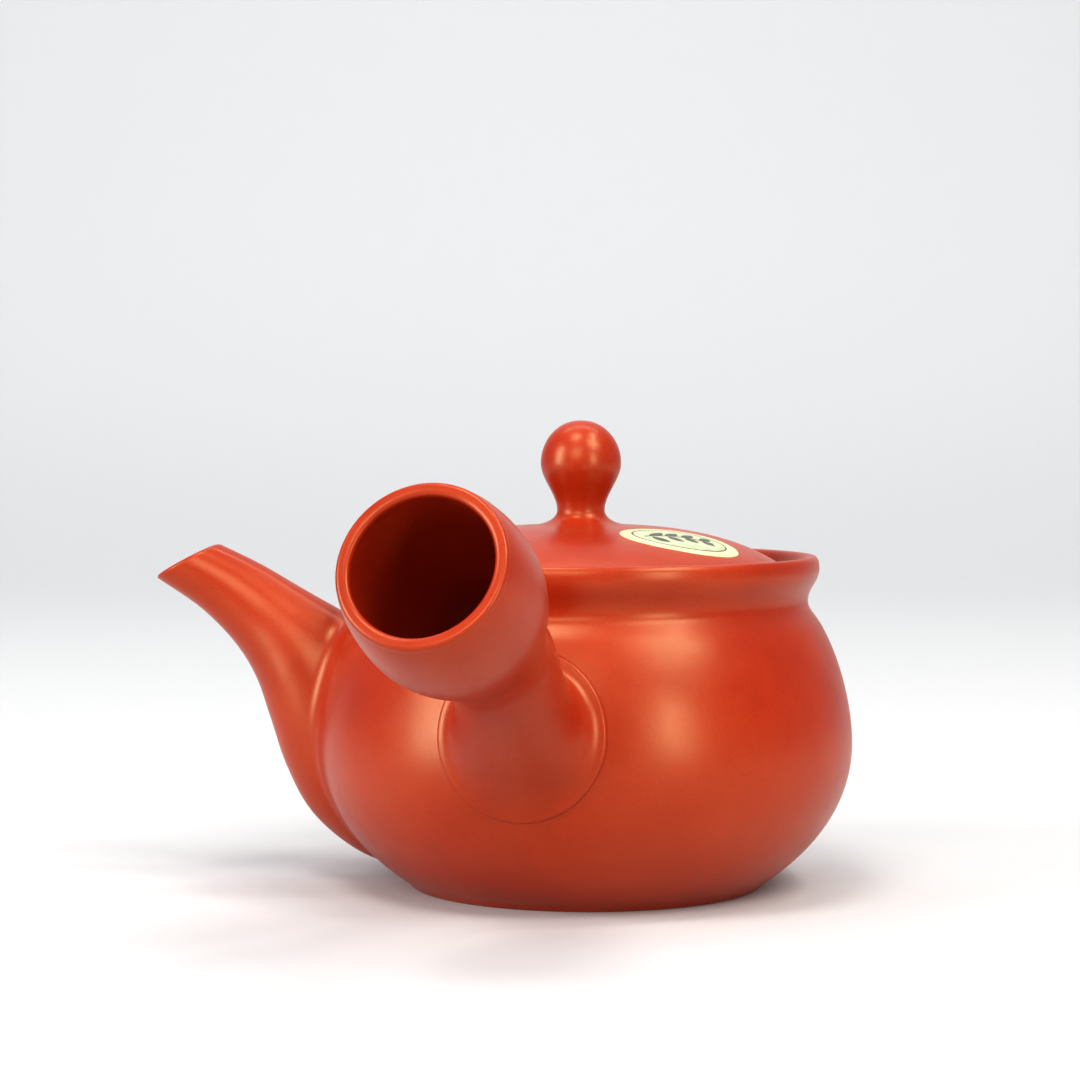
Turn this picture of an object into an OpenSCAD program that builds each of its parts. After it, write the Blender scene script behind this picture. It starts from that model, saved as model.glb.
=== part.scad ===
// Side-handled teapot in red burnished clay, with a drop-in lid.
// Millimetres. +Z is up, the origin is the centre of the foot's flat face,
// and the spout points along -X.

/* [Body] */
// Largest diameter of the body
body_d = 104; // [100:1:108]
// Height of the widest line above the foot
belly_h = 28; // [26:1:30]
// Diameter of the flat foot
foot_d = 68.8; // [66:0.2:72]
// Bevel round the foot
foot_bevel = 1; // [0.6:0.1:1.6]
// Diameter of the neck, the narrow line under the collar
neck_d = 86.6; // [85:0.2:88]
// Height of the neck above the foot
neck_h = 55.8; // [55:0.2:56.6]
// Largest diameter of the collar
collar_d = 91; // [90:0.2:93]
// Height of the rim above the foot
rim_h = 64.4; // [63.8:0.2:66]
// Thickness of the clay wall
wall = 3; // [2.6:0.1:3.4]
// Thickness of the floor
floor_t = 3.4; // [3:0.1:4]

/* [Lid and its seat] */
// Height of the ledge that the lid rests on
seat_h = 60.4; // [60:0.1:60.8]
// Diameter of the ledge's inner edge
throat_d = 73.6; // [72:0.2:75]
// Diameter of the recess that the lid drops into
recess_d = 82; // [81.6:0.2:83]
// Diameter of the lid
lid_d = 79.2; // [78:0.2:79.6]
// Height of the lid's crown above the foot
crown_h = 70.3; // [69.8:0.1:71]
// Thickness of the lid
lid_t = 2.8; // [2.4:0.1:3.2]
// Play between the lid's flange and the throat, on the diameter
flange_play = 2.8; // [2.4:0.1:3]
// Distance by which the loose lid lies off centre, towards the spout
lid_shift = 1; // [0:0.1:1]
// Depth of the flange below the ledge
flange_drop = 6.5; // [5:0.5:7]
// Diameter of the steam hole
steam_d = 2.6; // [2:0.2:3]

/* [Knob] */
// Diameter of the ball
knob_d = 15.7; // [14:0.1:17]
// Height of the ball's middle above the foot
knob_h = 82.4; // [81.6:0.1:83.2]
// Diameter of the neck under the ball
knob_neck_d = 9.3; // [8.6:0.1:10.4]
// Diameter of the flared base
knob_base_d = 16.4; // [15:0.2:18]
// Height of the top of the ball above the foot
top_h = 90.7; // [90:0.1:91.4]

/* [Label] */
// Length of the oval label
label_l = 23; // [20:0.5:24]
// Width of the oval label
label_w = 16.5; // [14:0.5:17.5]
// Distance from the lid's centre to the label's centre
label_off = 25.5; // [24:0.5:26]
// Direction from the lid's centre to the label's centre
label_at = -35; // [-60:1:0]
// Direction of the label's long axis
label_turn = 23; // [0:1:60]
// Thickness of the foil
foil_t = 0.2; // [0.2:0.05:0.4]

/* [Handle] */
// Angle in plan from the spout to the handle
handle_turn = 81.5; // [75:0.5:95]
// Rise of the handle above level
handle_rise = 25; // [22:0.5:28]
// Distance by which the handle's axis passes the pot's axis
handle_side = 4.7; // [3:0.1:5.5]
// Distance in plan from the pot's axis to the open end
handle_reach = 108.2; // [104:0.2:112]
// Height of the middle of the open end
handle_mouth_h = 67.8; // [66:0.1:69]
// Diameter of the open end
handle_mouth_d = 29; // [28:0.1:30]
// Largest diameter of the barrel
handle_barrel_d = 32.2; // [31:0.1:34]
// Smallest diameter, at the waist
handle_waist_d = 22.4; // [21:0.1:24]
// Thickness of the handle's wall
handle_wall = 2.3; // [2:0.1:2.8]
// Diameter of the round foot that joins the handle to the body
handle_foot_d = 31.6; // [30:0.2:33]
// Height of that foot's middle
handle_foot_h = 34.7; // [34:0.1:36]
// Height by which the foot stands proud of the body
handle_foot_t = 1; // [0.8:0.1:1.4]

/* [Spout] */
// Thickness of the wall at the spout's mouth
spout_lip = 1.7; // [1.4:0.1:2]
// Thickness of the wall at the spout's root
spout_wall = 2.6; // [2.2:0.1:3]
// Diameter of the hole through the body behind the spout
spout_hole_d = 19; // [17:0.5:20]
// Height of that hole's middle
spout_hole_h = 30; // [28:0.5:32]

/* [Strainer] */
// Outer radius of the strainer's dome
sieve_r = 13; // [12:0.2:13.6]
// Thickness of the strainer
sieve_t = 2; // [1.6:0.1:2.4]
// Diameter of one strainer hole
sieve_hole_d = 1.8; // [1.4:0.1:2]

/* [Hidden] */
$fn = 120;

CLAY = [0.74, 0.25, 0.13];
CLAY_DARK = [0.62, 0.19, 0.10];
CREAM = [0.87, 0.83, 0.62];

curve_steps = 12;
body_r = body_d / 2;
foot_r = foot_d / 2;
neck_r = neck_d / 2;
collar_r = collar_d / 2;
throat_r = throat_d / 2;
recess_r = recess_d / 2;
lid_r = lid_d / 2;
seat_gap = 0.1;
past = 1;

// A cubic curve from a to d, pulled towards b and c, without its last point
function curve(a, b, c, d, n = curve_steps) = [
    for (i = [0 : n - 1])
        let (t = i / n, s = 1 - t)
            s * s * s * a + 3 * s * s * t * b + 3 * s * t * t * c + t * t * t * d
];

// Catmull-Rom value between rows p1 and p2 at u = 0..1
function blend_row(p0, p1, p2, p3, u) =
    0.5 * (2 * p1 + (p2 - p0) * u + (2 * p0 - 5 * p1 + 4 * p2 - p3) * u * u
        + (3 * p1 - p0 - 3 * p2 + p3) * u * u * u);

// Row k of a table, with the ends carried on in a straight line
function row(table, k) =
    k < 0 ? 2 * table[0] - table[1]
    : k >= len(table) ? 2 * table[len(table) - 1] - table[len(table) - 2]
    : table[k];

// A table's rows with n steps between each pair
function refine(table, n) = concat(
    [for (k = [0 : len(table) - 2], i = [0 : n - 1])
        blend_row(row(table, k - 1), table[k], table[k + 1], row(table, k + 2), i / n)],
    [table[len(table) - 1]]);

// The outer outline of the body from the foot's edge to the top of the rim,
// moved outwards by grow
function body_outline(grow = 0) = concat(
    [[foot_r + grow, 0]],
    curve([foot_r + foot_bevel * 0.8 + grow, foot_bevel], [foot_r + 13.6 + grow, 9.6],
        [body_r + grow, belly_h - 8.6], [body_r + grow, belly_h]),
    curve([body_r + grow, belly_h], [body_r + grow, belly_h + 6.5],
        [body_r - 2 + grow, neck_h - 12.2], [neck_r + 2.8 + grow, neck_h - 5.1]),
    curve([neck_r + 2.8 + grow, neck_h - 5.1], [neck_r + 1.5 + grow, neck_h - 2.7],
        [neck_r + grow, neck_h - 1.9], [neck_r + grow, neck_h]),
    curve([neck_r + grow, neck_h], [neck_r + grow, neck_h + 2.4],
        [collar_r + grow, rim_h - 4.8], [collar_r + grow, rim_h - 2.4]),
    curve([collar_r + grow, rim_h - 2.4], [collar_r + grow, rim_h - 0.8],
        [collar_r - 0.4 + grow, rim_h], [collar_r - 1.2 + grow, rim_h]));

// The inside of the body from the rim down to the middle of the floor
function body_inside() = concat(
    curve([collar_r - 1.2, rim_h], [collar_r - 2.3, rim_h],
        [collar_r - 2.6, rim_h - 0.5], [recess_r + 1.2, seat_h + 2], 6),
    [[recess_r, seat_h + 0.6], [recess_r, seat_h], [throat_r + 0.4, seat_h],
        [throat_r, seat_h - 0.4]],
    curve([throat_r, seat_h - 3], [throat_r, neck_h - 2.4],
        [neck_r - 2.6, neck_h - 3.2], [neck_r + 0.3, neck_h - 8]),
    curve([neck_r + 0.3, neck_h - 8], [body_r - 4.7, neck_h - 14.8],
        [body_r - wall, belly_h + 5.5], [body_r - wall, belly_h]),
    curve([body_r - wall, belly_h], [body_r - wall, belly_h - 7.8],
        [body_r - 6.7, floor_t + 8.2], [foot_r + 0.2, floor_t + 0.8]),
    [[foot_r - 1.4, floor_t], [0, floor_t]]);

// The body as if it were solid clay, grown outwards by grow
module body_lump(grow = 0)
    rotate_extrude() polygon(concat([[0, 0]], body_outline(grow), [[0, rim_h]]));

// The space inside the body
module body_space() rotate_extrude() polygon(concat([[0, rim_h]], body_inside()));

module spout_hole()
    translate([-body_r - past, 0, spout_hole_h]) rotate([0, 90, 0])
        cylinder(d = spout_hole_d, h = body_r / 2);

module body() color(CLAY)
    difference() {
        rotate_extrude() polygon(concat([[0, 0]], body_outline(), body_inside()));
        spout_hole();
    }

// Sections of the spout from its mouth to inside the body. Each row holds how far
// the lower edge reaches from the pot's axis and its height, the same for the
// upper edge, and half the width.
spout_rows = [
    [87.0, 59.4, 74.4, 66.2, 5.8],
    [77.6, 53.2, 66.0, 62.3, 6.1],
    [70.6, 46.4, 59.0, 58.4, 7.2],
    [66.2, 39.6, 54.0, 55.6, 8.6],
    [63.2, 31.4, 49.2, 53.0, 10.0],
    [59.8, 21.6, 44.0, 50.0, 11.3],
    [54.6, 12.6, 38.0, 46.0, 12.2],
    [46.0, 5.6, 31.0, 40.0, 12.6],
    [36.0, 1.6, 24.0, 34.0, 12.0]
];
outer_sides = 32;
inner_sides = 24;
ring_steps = 2;

// One oval ring of points: a section drawn in by t on every side
function oval(r, t, sides) =
    let (across = [r[2] - r[0], 0, r[3] - r[1]], half = norm(across) / 2)
        [for (i = [0 : sides - 1])
            let (a = 360 * i / sides)
                [-(r[0] + r[2]) / 2, 0, (r[1] + r[3]) / 2]
                + cos(a) * (half - t) / half * [-across[0], 0, across[2]] / 2
                + sin(a) * [0, r[4] - t, 0]];

// A closed skin over a list of rings with the same number of points
module loft(rings) {
    sides = len(rings[0]);
    last = len(rings) - 1;
    polyhedron(
        points = [for (ring = rings, p = ring) p],
        faces = concat(
            [[for (i = [sides - 1 : -1 : 0]) i]],
            [for (k = [0 : last - 1], i = [0 : sides - 1]) let (j = (i + 1) % sides)
                each [[k * sides + i, (k + 1) * sides + j, (k + 1) * sides + i],
                    [k * sides + i, k * sides + j, (k + 1) * sides + j]]],
            [[for (i = [0 : sides - 1]) last * sides + i]]));
}

module spout_outside()
    loft([for (r = refine(spout_rows, ring_steps)) oval(r, 0, outer_sides)]);

// The channel starts one row beyond the mouth, so that it cuts the mouth open
module spout_channel() {
    rows = concat([row(spout_rows, -1)], refine(spout_rows, ring_steps));
    thickness = [for (k = [0 : len(rows) - 1])
        min(spout_wall, spout_lip + (spout_wall - spout_lip) * k / 6)];
    loft([for (k = [0 : len(rows) - 1]) oval(rows[k], thickness[k], inner_sides)]);
}

module spout() color(CLAY)
    difference() {
        difference() {
            spout_outside();
            spout_channel();
        }
        body_lump();
    }

// Holes of the strainer: how far each ring leans from the middle, and its count
sieve_rings = [[0, 1], [17, 6], [34, 12], [51, 18]];
sieve_x = -(body_r - wall) + 3.6;

module strainer() color(CLAY_DARK)
    intersection() {
        body_space();
        translate([sieve_x, 0, spout_hole_h]) rotate([0, 90, 0])
            difference() {
                rotate_extrude() intersection() {
                    difference() {
                        circle(r = sieve_r);
                        circle(r = sieve_r - sieve_t);
                    }
                    translate([0, -sieve_r / 2]) square([sieve_r, 2 * sieve_r]);
                }
                for (ring = sieve_rings, i = [0 : ring[1] - 1])
                    rotate([0, ring[0], 360 * i / ring[1]])
                        translate([0, 0, sieve_r - sieve_t - past])
                            cylinder(d = sieve_hole_d, h = sieve_t + 2 * past, $fn = 24);
            }
    }

// The handle's axis: where it starts, at the middle of the open end, and its
// direction, away from the pot
handle_az = 180 + handle_turn;
handle_out = [cos(handle_rise) * cos(handle_az), cos(handle_rise) * sin(handle_az), sin(handle_rise)];
handle_mouth = handle_reach * [cos(handle_az), sin(handle_az), 0]
    + handle_side * [-sin(handle_az), cos(handle_az), 0] + [0, 0, handle_mouth_h];

// The handle's foot looks out along the body's own slope
foot_az = handle_az + 3;
foot_rise = 9;
foot_out = [cos(foot_rise) * cos(foot_az), cos(foot_rise) * sin(foot_az), sin(foot_rise)];
foot_middle = (body_r - 0.5) * [cos(foot_az), sin(foot_az), 0] + [0, 0, handle_foot_h];

// Moves a child from the +Z axis to a line that starts at a point and runs along out
module along(start, out)
    translate(start) rotate([0, acos(out[2]), atan2(out[1], out[0])]) children();

// A ring of points about a middle, square to the direction out
function hoop(middle, out, r, sides) =
    let (level = [-out[1], out[0], 0] / norm([out[0], out[1]]), up = cross(out, level))
        [for (i = [0 : sides - 1])
            let (a = 360 * i / sides) middle + r * cos(a) * level + r * sin(a) * up];

waist_at = 41;
barrel_at = 14;

// Runs of the barrel from its open end back to the waist, as [radius, distance back]
handle_outer = concat(
    curve([handle_mouth_d / 2 - 1, 0], [handle_mouth_d / 2 - 0.3, 0],
        [handle_mouth_d / 2, 0.3], [handle_mouth_d / 2 + 0.1, 1], 5),
    curve([handle_mouth_d / 2 + 0.1, 1], [handle_mouth_d / 2 + 1.1, 4.4],
        [handle_barrel_d / 2, barrel_at - 5], [handle_barrel_d / 2, barrel_at]),
    curve([handle_barrel_d / 2, barrel_at], [handle_barrel_d / 2, barrel_at + 10],
        [handle_waist_d / 2, waist_at - 11], [handle_waist_d / 2, waist_at]));
inner_mouth_r = handle_mouth_d / 2 - handle_wall;
inner_barrel_r = handle_barrel_d / 2 - handle_wall - 0.3;
inner_waist_r = handle_waist_d / 2 - handle_wall - 0.5;
handle_inner = concat(
    [[inner_mouth_r + 0.8, -past]],
    curve([inner_mouth_r + 0.8, 0], [inner_mouth_r, 0],
        [inner_mouth_r, 0.4], [inner_mouth_r, 1.2], 5),
    curve([inner_mouth_r, 1.2], [inner_mouth_r + 1, 4.5],
        [inner_barrel_r, barrel_at - 4], [inner_barrel_r, barrel_at]),
    curve([inner_barrel_r, barrel_at], [inner_barrel_r, barrel_at + 10],
        [inner_waist_r, waist_at - 11], [inner_waist_r, waist_at]),
    [[inner_waist_r, waist_at]]);

// The neck bends from the handle's axis on to the foot's, and flares
neck_steps = 7;
neck_path = curve(handle_mouth - (waist_at - 1) * handle_out, handle_mouth - (waist_at + 10) * handle_out,
    foot_middle + 6 * foot_out, foot_middle - 4 * foot_out, neck_steps);
function neck_loft(r_waist, r_mid, r_foot, sides) =
    let (r = curve(r_waist, r_waist, r_mid, r_foot, neck_steps))
        [for (k = [0 : neck_steps - 1])
            let (u = k / (neck_steps - 1), way = (1 - u) * handle_out + u * foot_out)
                hoop(neck_path[k], way / norm(way), r[k], sides)];

module handle() color(CLAY)
    difference() {
        difference() {
            union() {
                along(handle_mouth, -handle_out) rotate_extrude()
                    polygon(concat([[0, 0]], handle_outer, [[handle_waist_d / 2, waist_at], [0, waist_at]]));
                loft(neck_loft(handle_waist_d / 2 - 0.05, handle_waist_d / 2, handle_foot_d / 2, 40));
                intersection() {
                    along(foot_middle - 8 * foot_out, foot_out) cylinder(d = handle_foot_d, h = 12);
                    body_lump(handle_foot_t);
                }
            }
            body_lump();
        }
        along(handle_mouth, -handle_out) rotate_extrude()
            polygon(concat([[0, -past]], handle_inner, [[0, waist_at]]));
        loft(neck_loft(inner_waist_r - 0.05, inner_waist_r, handle_foot_d / 2 - 5, 24));
    }

// The lid's top from the knob's base to the lid's edge
lid_top = concat(
    curve([knob_base_d / 2, crown_h], [20, crown_h - 0.3], [30.5, crown_h - 2.3],
        [lid_r - 1.2, crown_h - 7.3]),
    curve([lid_r - 1.2, crown_h - 7.3], [lid_r - 0.4, crown_h - 7.8],
        [lid_r, crown_h - 8.2], [lid_r, crown_h - 8.8], 5));
flange_r = throat_r - flange_play / 2;
lid_seat = seat_h + seat_gap;

module lid_turned()
    rotate_extrude() polygon(concat(
        [[0, crown_h]],
        lid_top,
        [[lid_r, lid_seat + 0.5], [lid_r - 0.5, lid_seat], [flange_r, lid_seat],
            [flange_r, seat_h - flange_drop + 0.6], [flange_r - 0.6, seat_h - flange_drop],
            [flange_r - 2, seat_h - flange_drop], [flange_r - 2.6, seat_h - flange_drop + 0.6],
            [flange_r - 2.6, seat_h]],
        curve([flange_r - 2.6, seat_h + 1], [30, crown_h - lid_t - 2.6],
            [20, crown_h - lid_t - 0.4], [knob_base_d / 2, crown_h - lid_t]),
        [[0, crown_h - lid_t]]));

module lid() color(CLAY) translate([-lid_shift, 0, 0])
    difference() {
        lid_turned();
        rotate([0, 0, 90]) translate([26, 0, crown_h - 2 * lid_t - 2])
            cylinder(d = steam_d, h = 3 * lid_t);
    }

module knob() color(CLAY) translate([-lid_shift, 0, 0])
    rotate_extrude() polygon(concat(
        [[0, crown_h], [knob_base_d / 2, crown_h]],
        curve([knob_base_d / 2, crown_h], [knob_neck_d / 2 + 1, crown_h + 0.5],
            [knob_neck_d / 2, crown_h + 1.3], [knob_neck_d / 2, crown_h + 3]),
        curve([knob_neck_d / 2, crown_h + 3], [knob_neck_d / 2 + 0.1, knob_h - 6],
            [knob_d / 2, knob_h - 3.2], [knob_d / 2, knob_h]),
        curve([knob_d / 2, knob_h], [knob_d / 2, knob_h + 4.6],
            [knob_d / 4 + 0.5, top_h], [0, top_h], 16),
        [[0, top_h]]));

// A foil skin on the lid's top, cut to an oval
module label() color(CREAM) translate([-lid_shift, 0, 0])
    intersection() {
        rotate_extrude() polygon(concat(
            [for (p = lid_top) p + [0, foil_t]],
            [for (i = [len(lid_top) - 1 : -1 : 0]) lid_top[i]]));
        rotate([0, 0, label_at]) translate([label_off, 0, seat_h])
            rotate([0, 0, label_turn - label_at]) linear_extrude(crown_h)
                polygon([for (a = [0 : 6 : 354]) [label_l / 2 * cos(a), label_w / 2 * sin(a)]]);
    }

body();
spout();
strainer();
handle();
lid();
knob();
label();
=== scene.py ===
"""The looks of a side-handled teapot in burnished red clay, standing in a soft-lit studio.

Lengths in the classes are millimetres in the pot's own frame: +Z is up, the spout points
along -X and the hollow handle points along -Y. Meshes are written in metres.
"""

import logging
import math
from dataclasses import dataclass, field
from enum import Enum

import bpy
import numpy as np
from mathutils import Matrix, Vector


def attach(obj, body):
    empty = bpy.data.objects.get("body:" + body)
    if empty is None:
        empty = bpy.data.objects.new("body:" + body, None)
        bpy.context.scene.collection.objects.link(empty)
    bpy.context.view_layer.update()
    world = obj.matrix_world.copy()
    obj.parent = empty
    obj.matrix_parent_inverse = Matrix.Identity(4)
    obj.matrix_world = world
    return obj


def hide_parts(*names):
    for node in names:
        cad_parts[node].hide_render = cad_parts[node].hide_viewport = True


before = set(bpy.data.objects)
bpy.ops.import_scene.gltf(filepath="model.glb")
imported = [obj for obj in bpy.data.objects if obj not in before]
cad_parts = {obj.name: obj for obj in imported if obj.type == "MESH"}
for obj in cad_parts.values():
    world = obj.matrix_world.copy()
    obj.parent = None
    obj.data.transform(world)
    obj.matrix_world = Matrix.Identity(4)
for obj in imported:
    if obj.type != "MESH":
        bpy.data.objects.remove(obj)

log = logging.getLogger("teapot")
MM = 0.001
FULL_TURN = 2 * math.pi
SHARP_EDGE = math.radians(50)
TINY = 1e-9
Pair = tuple[float, float]
Triple = tuple[float, float, float]


class Body(Enum):
    """The two bodies that pieces ride on."""

    POT = "pot"
    LID = "lid"


class Slot(Enum):
    """The material slots of the record."""

    RED_CLAY = "red_clay"
    RAW_CLAY = "raw_clay"
    FOIL = "foil"


# ---------------------------------------------------------------- mesh helpers


def bezier(nodes: list[Pair] | list[np.ndarray], count: int, closed: bool = False) -> np.ndarray:
    """Points along a cubic Bezier.

    Args:
        nodes: the four control points, or four equally long lists of them.
        count: how many points to take.
        closed: whether the curve's last point is taken as well.

    Returns:
        The points, one per row.
    """
    a, b, c, d = (np.asarray(n, float) for n in nodes)
    t = np.linspace(0, 1, count, endpoint=closed)
    t = t.reshape((count,) + (1,) * a.ndim)
    s = 1 - t
    return s**3 * a + 3 * s * s * t * b + 3 * s * t * t * c + t**3 * d


def unit(v: np.ndarray) -> np.ndarray:
    """A vector, or each vector in a list, made one long."""
    v = np.asarray(v, float)
    return v / np.maximum(np.linalg.norm(v, axis=-1, keepdims=True), 1e-12)


def resample(columns: np.ndarray, starts: np.ndarray, ends: np.ndarray, count: int) -> np.ndarray:
    """Evenly spaced rows along each column of a grid.

    Args:
        columns: grid of points, rows along the column, then sides, then xyz.
        starts: length along each column at which the first new row lies.
        ends: the same for the last new row.
        count: the number of new rows.

    Returns:
        The new grid, count rows by sides by xyz.
    """
    steps = np.linalg.norm(np.diff(columns, axis=0), axis=2)
    at = np.vstack([np.zeros(columns.shape[1]), np.cumsum(steps, axis=0)])
    out = np.empty((count, columns.shape[1], 3))
    for i in range(columns.shape[1]):
        wanted = np.linspace(starts[i], ends[i], count)
        for axis in range(3):
            out[:, i, axis] = np.interp(wanted, at[:, i], columns[:, i, axis])
    return out


@dataclass
class Skin:
    """A mesh under construction, in millimetres."""

    points: np.ndarray
    faces: list[tuple[int, ...]]

    @classmethod
    def from_rings(cls, rings: np.ndarray, looped: bool = False) -> "Skin":
        """A closed skin over rings of points.

        Args:
            rings: grid of points, ring by ring.
            looped: whether the last ring joins the first. If not, both ends are closed
                with a fan about the middle of their ring.

        Returns:
            The skin.
        """
        count, sides = rings.shape[:2]
        points = rings.reshape(-1, 3)
        faces: list[tuple[int, ...]] = []
        for k in range(count if looped else count - 1):
            low, high = k * sides, ((k + 1) % count) * sides
            for i in range(sides):
                j = (i + 1) % sides
                faces.append((low + i, low + j, high + j, high + i))
        if not looped:
            first, last = len(points), (count - 1) * sides
            points = np.vstack([points, rings[0].mean(axis=0), rings[-1].mean(axis=0)])
            for i in range(sides):
                j = (i + 1) % sides
                faces.append((first, j, i))
                faces.append((first + 1, last + i, last + j))
        return cls(points, faces)

    @classmethod
    def revolved(cls, outline: np.ndarray, sides: int, shift: Pair = (0, 0)) -> "Skin":
        """A closed skin from an outline of (radius, height) turned about Z.

        Args:
            outline: the outline from one place near the axis round to another.
            sides: the number of points in each ring.
            shift: where the axis stands in X and Y.

        Returns:
            The skin.
        """
        turn = np.linspace(0, FULL_TURN, sides, endpoint=False)
        rings = np.empty((len(outline), sides, 3))
        rings[..., 0] = outline[:, :1] * np.cos(turn) + shift[0]
        rings[..., 1] = outline[:, :1] * np.sin(turn) + shift[1]
        rings[..., 2] = outline[:, 1:]
        return cls.from_rings(rings)

    def joined(self, other: "Skin") -> "Skin":
        """This skin and another as one.

        Args:
            other: the skin that is added.

        Returns:
            A new skin with the points and faces of both.
        """
        base = len(self.points)
        moved = [tuple(base + i for i in face) for face in other.faces]
        return Skin(np.vstack([self.points, other.points]), self.faces + moved)

    def to_object(self, name: str) -> bpy.types.Object:
        """A smooth-shaded object with this skin, its faces looking outwards.

        Args:
            name: the object's name and its mesh's.

        Returns:
            The object, linked to the scene.
        """
        mesh = bpy.data.meshes.new(name)
        mesh.from_pydata((self.points * MM).tolist(), [], self.faces)
        mesh.validate()
        if signed_volume(mesh) < 0:
            mesh.flip_normals()
        mesh.polygons.foreach_set("use_smooth", [True] * len(mesh.polygons))
        made = bpy.data.objects.new(name, mesh)
        bpy.context.scene.collection.objects.link(made)
        return made


def signed_volume(mesh: bpy.types.Mesh) -> float:
    """The volume inside a closed mesh.

    Args:
        mesh: the mesh.

    Returns:
        The volume, negative if the faces look inwards.
    """
    mesh.calc_loop_triangles()
    triples = np.array([tri.vertices[:] for tri in mesh.loop_triangles])
    points = np.array([v.co[:] for v in mesh.vertices])
    a, b, c = (points[triples[:, k]] for k in range(3))
    return float(np.einsum("ij,ij->i", a, np.cross(b, c)).sum() / 6)


def dress(made: bpy.types.Object, finish: bpy.types.Material) -> None:
    """Gives an object one finish all over, in place of any that it has."""
    made.data.materials.clear()
    made.data.materials.append(finish)


def drill(
    target: bpy.types.Object, start: Triple, along: Triple, length: float, bore: float, sides: int = 64,
) -> None:
    """Cuts a round hole through an object and makes the cut part of its mesh.

    Args:
        target: the object that is cut.
        start: where the hole's axis starts.
        along: the direction of the hole's axis.
        length: how long the cut is.
        bore: the hole's diameter.
        sides: the number of flats that make up the round.
    """
    way = unit(np.array(along))
    aside = (0, 1, 0) if abs(way[1]) < 0.9 else (1, 0, 0)
    level = unit(np.cross(way, aside))
    up = np.cross(way, level)
    turn = np.linspace(0, FULL_TURN, sides, endpoint=False)[:, None]
    ring = bore / 2 * (np.cos(turn) * level + np.sin(turn) * up) + np.array(start)
    tool = Skin.from_rings(np.stack([ring, ring + way * length])).to_object("drill_tool")
    cut = target.modifiers.new("hole", "BOOLEAN")
    cut.operation = "DIFFERENCE"
    cut.solver = "EXACT"
    cut.object = tool
    graph = bpy.context.evaluated_depsgraph_get()
    fresh = bpy.data.meshes.new_from_object(target.evaluated_get(graph))
    target.modifiers.clear()
    target.data = fresh
    target.data.polygons.foreach_set("use_smooth", [True] * len(target.data.polygons))
    target.data.set_sharp_from_angle(angle=SHARP_EDGE)
    bpy.data.objects.remove(tool)


# ---------------------------------------------------------------- finishes


@dataclass
class Nodes:
    """A short-hand for laying out a shader."""

    tree: bpy.types.NodeTree

    def add(self, kind: str, values: dict | None = None, **settings: object) -> bpy.types.Node:
        """Adds a node.

        Args:
            kind: the node's type name, without the ShaderNode prefix.
            values: input sockets by name, each a constant or another node's output.
            settings: properties of the node itself.

        Returns:
            The node.
        """
        node = self.tree.nodes.new("ShaderNode" + kind)
        for key, value in settings.items():
            setattr(node, key, value)
        for key, value in (values or {}).items():
            if isinstance(value, bpy.types.NodeSocket):
                self.tree.links.new(value, node.inputs[key])
            else:
                node.inputs[key].default_value = value
        return node

    def ramp(self, factor: bpy.types.NodeSocket, stops: list[tuple[float, Triple]]) -> bpy.types.NodeSocket:
        """A colour that runs through stops as a factor goes from 0 to 1.

        Args:
            factor: the output that picks the place on the ramp.
            stops: places on the ramp in rising order, each with its colour.

        Returns:
            The colour output.
        """
        node = self.add("ValToRGB", {"Fac": factor})
        elements = node.color_ramp.elements
        while len(elements) < len(stops):
            elements.new(0.5)
        for element, (at, colour) in zip(elements, stops):
            element.position = at
            element.color = (*colour, 1)
        return node.outputs["Color"]

    def span(self, value: bpy.types.NodeSocket, low: Pair, high: Pair) -> bpy.types.NodeSocket:
        """A value remapped along a straight line, and held at its ends.

        Args:
            value: the output that is remapped.
            low: a value and what it becomes.
            high: a higher value and what that becomes.

        Returns:
            The remapped output.
        """
        node = self.add("MapRange", {
            "Value": value,
            "From Min": low[0],
            "From Max": high[0],
            "To Min": low[1],
            "To Max": high[1],
        })
        return node.outputs["Result"]

    def noise(
        self, place: bpy.types.NodeSocket, scale: float, detail: float, rough: float = 0.5,
    ) -> bpy.types.NodeSocket:
        """A noise texture.

        Args:
            place: the output with the place that it is read at.
            scale: how many of its lumps there are to a metre.
            detail: how many finer octaves are added.
            rough: how strong the finer octaves are.

        Returns:
            The output with its value.
        """
        values = {"Vector": place, "Scale": scale, "Detail": detail, "Roughness": rough}
        return self.add("TexNoise", values).outputs["Fac"]

    def surface(self, values: dict) -> None:
        """Ends the shader in a Principled surface with these inputs."""
        shader = self.add("BsdfPrincipled", values)
        self.add("OutputMaterial", {"Surface": shader.outputs["BSDF"]})


def bare_material(name: str) -> tuple[bpy.types.Material, Nodes, bpy.types.NodeSocket]:
    """A new material whose shader isn't laid out yet.

    Args:
        name: the material's name.

    Returns:
        The material, the short-hand for its nodes, and the output with the place on the object.
    """
    made = bpy.data.materials.new(name)
    made.use_nodes = True
    made.node_tree.nodes.clear()
    nodes = Nodes(made.node_tree)
    return made, nodes, nodes.add("TexCoord").outputs["Object"]


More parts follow.
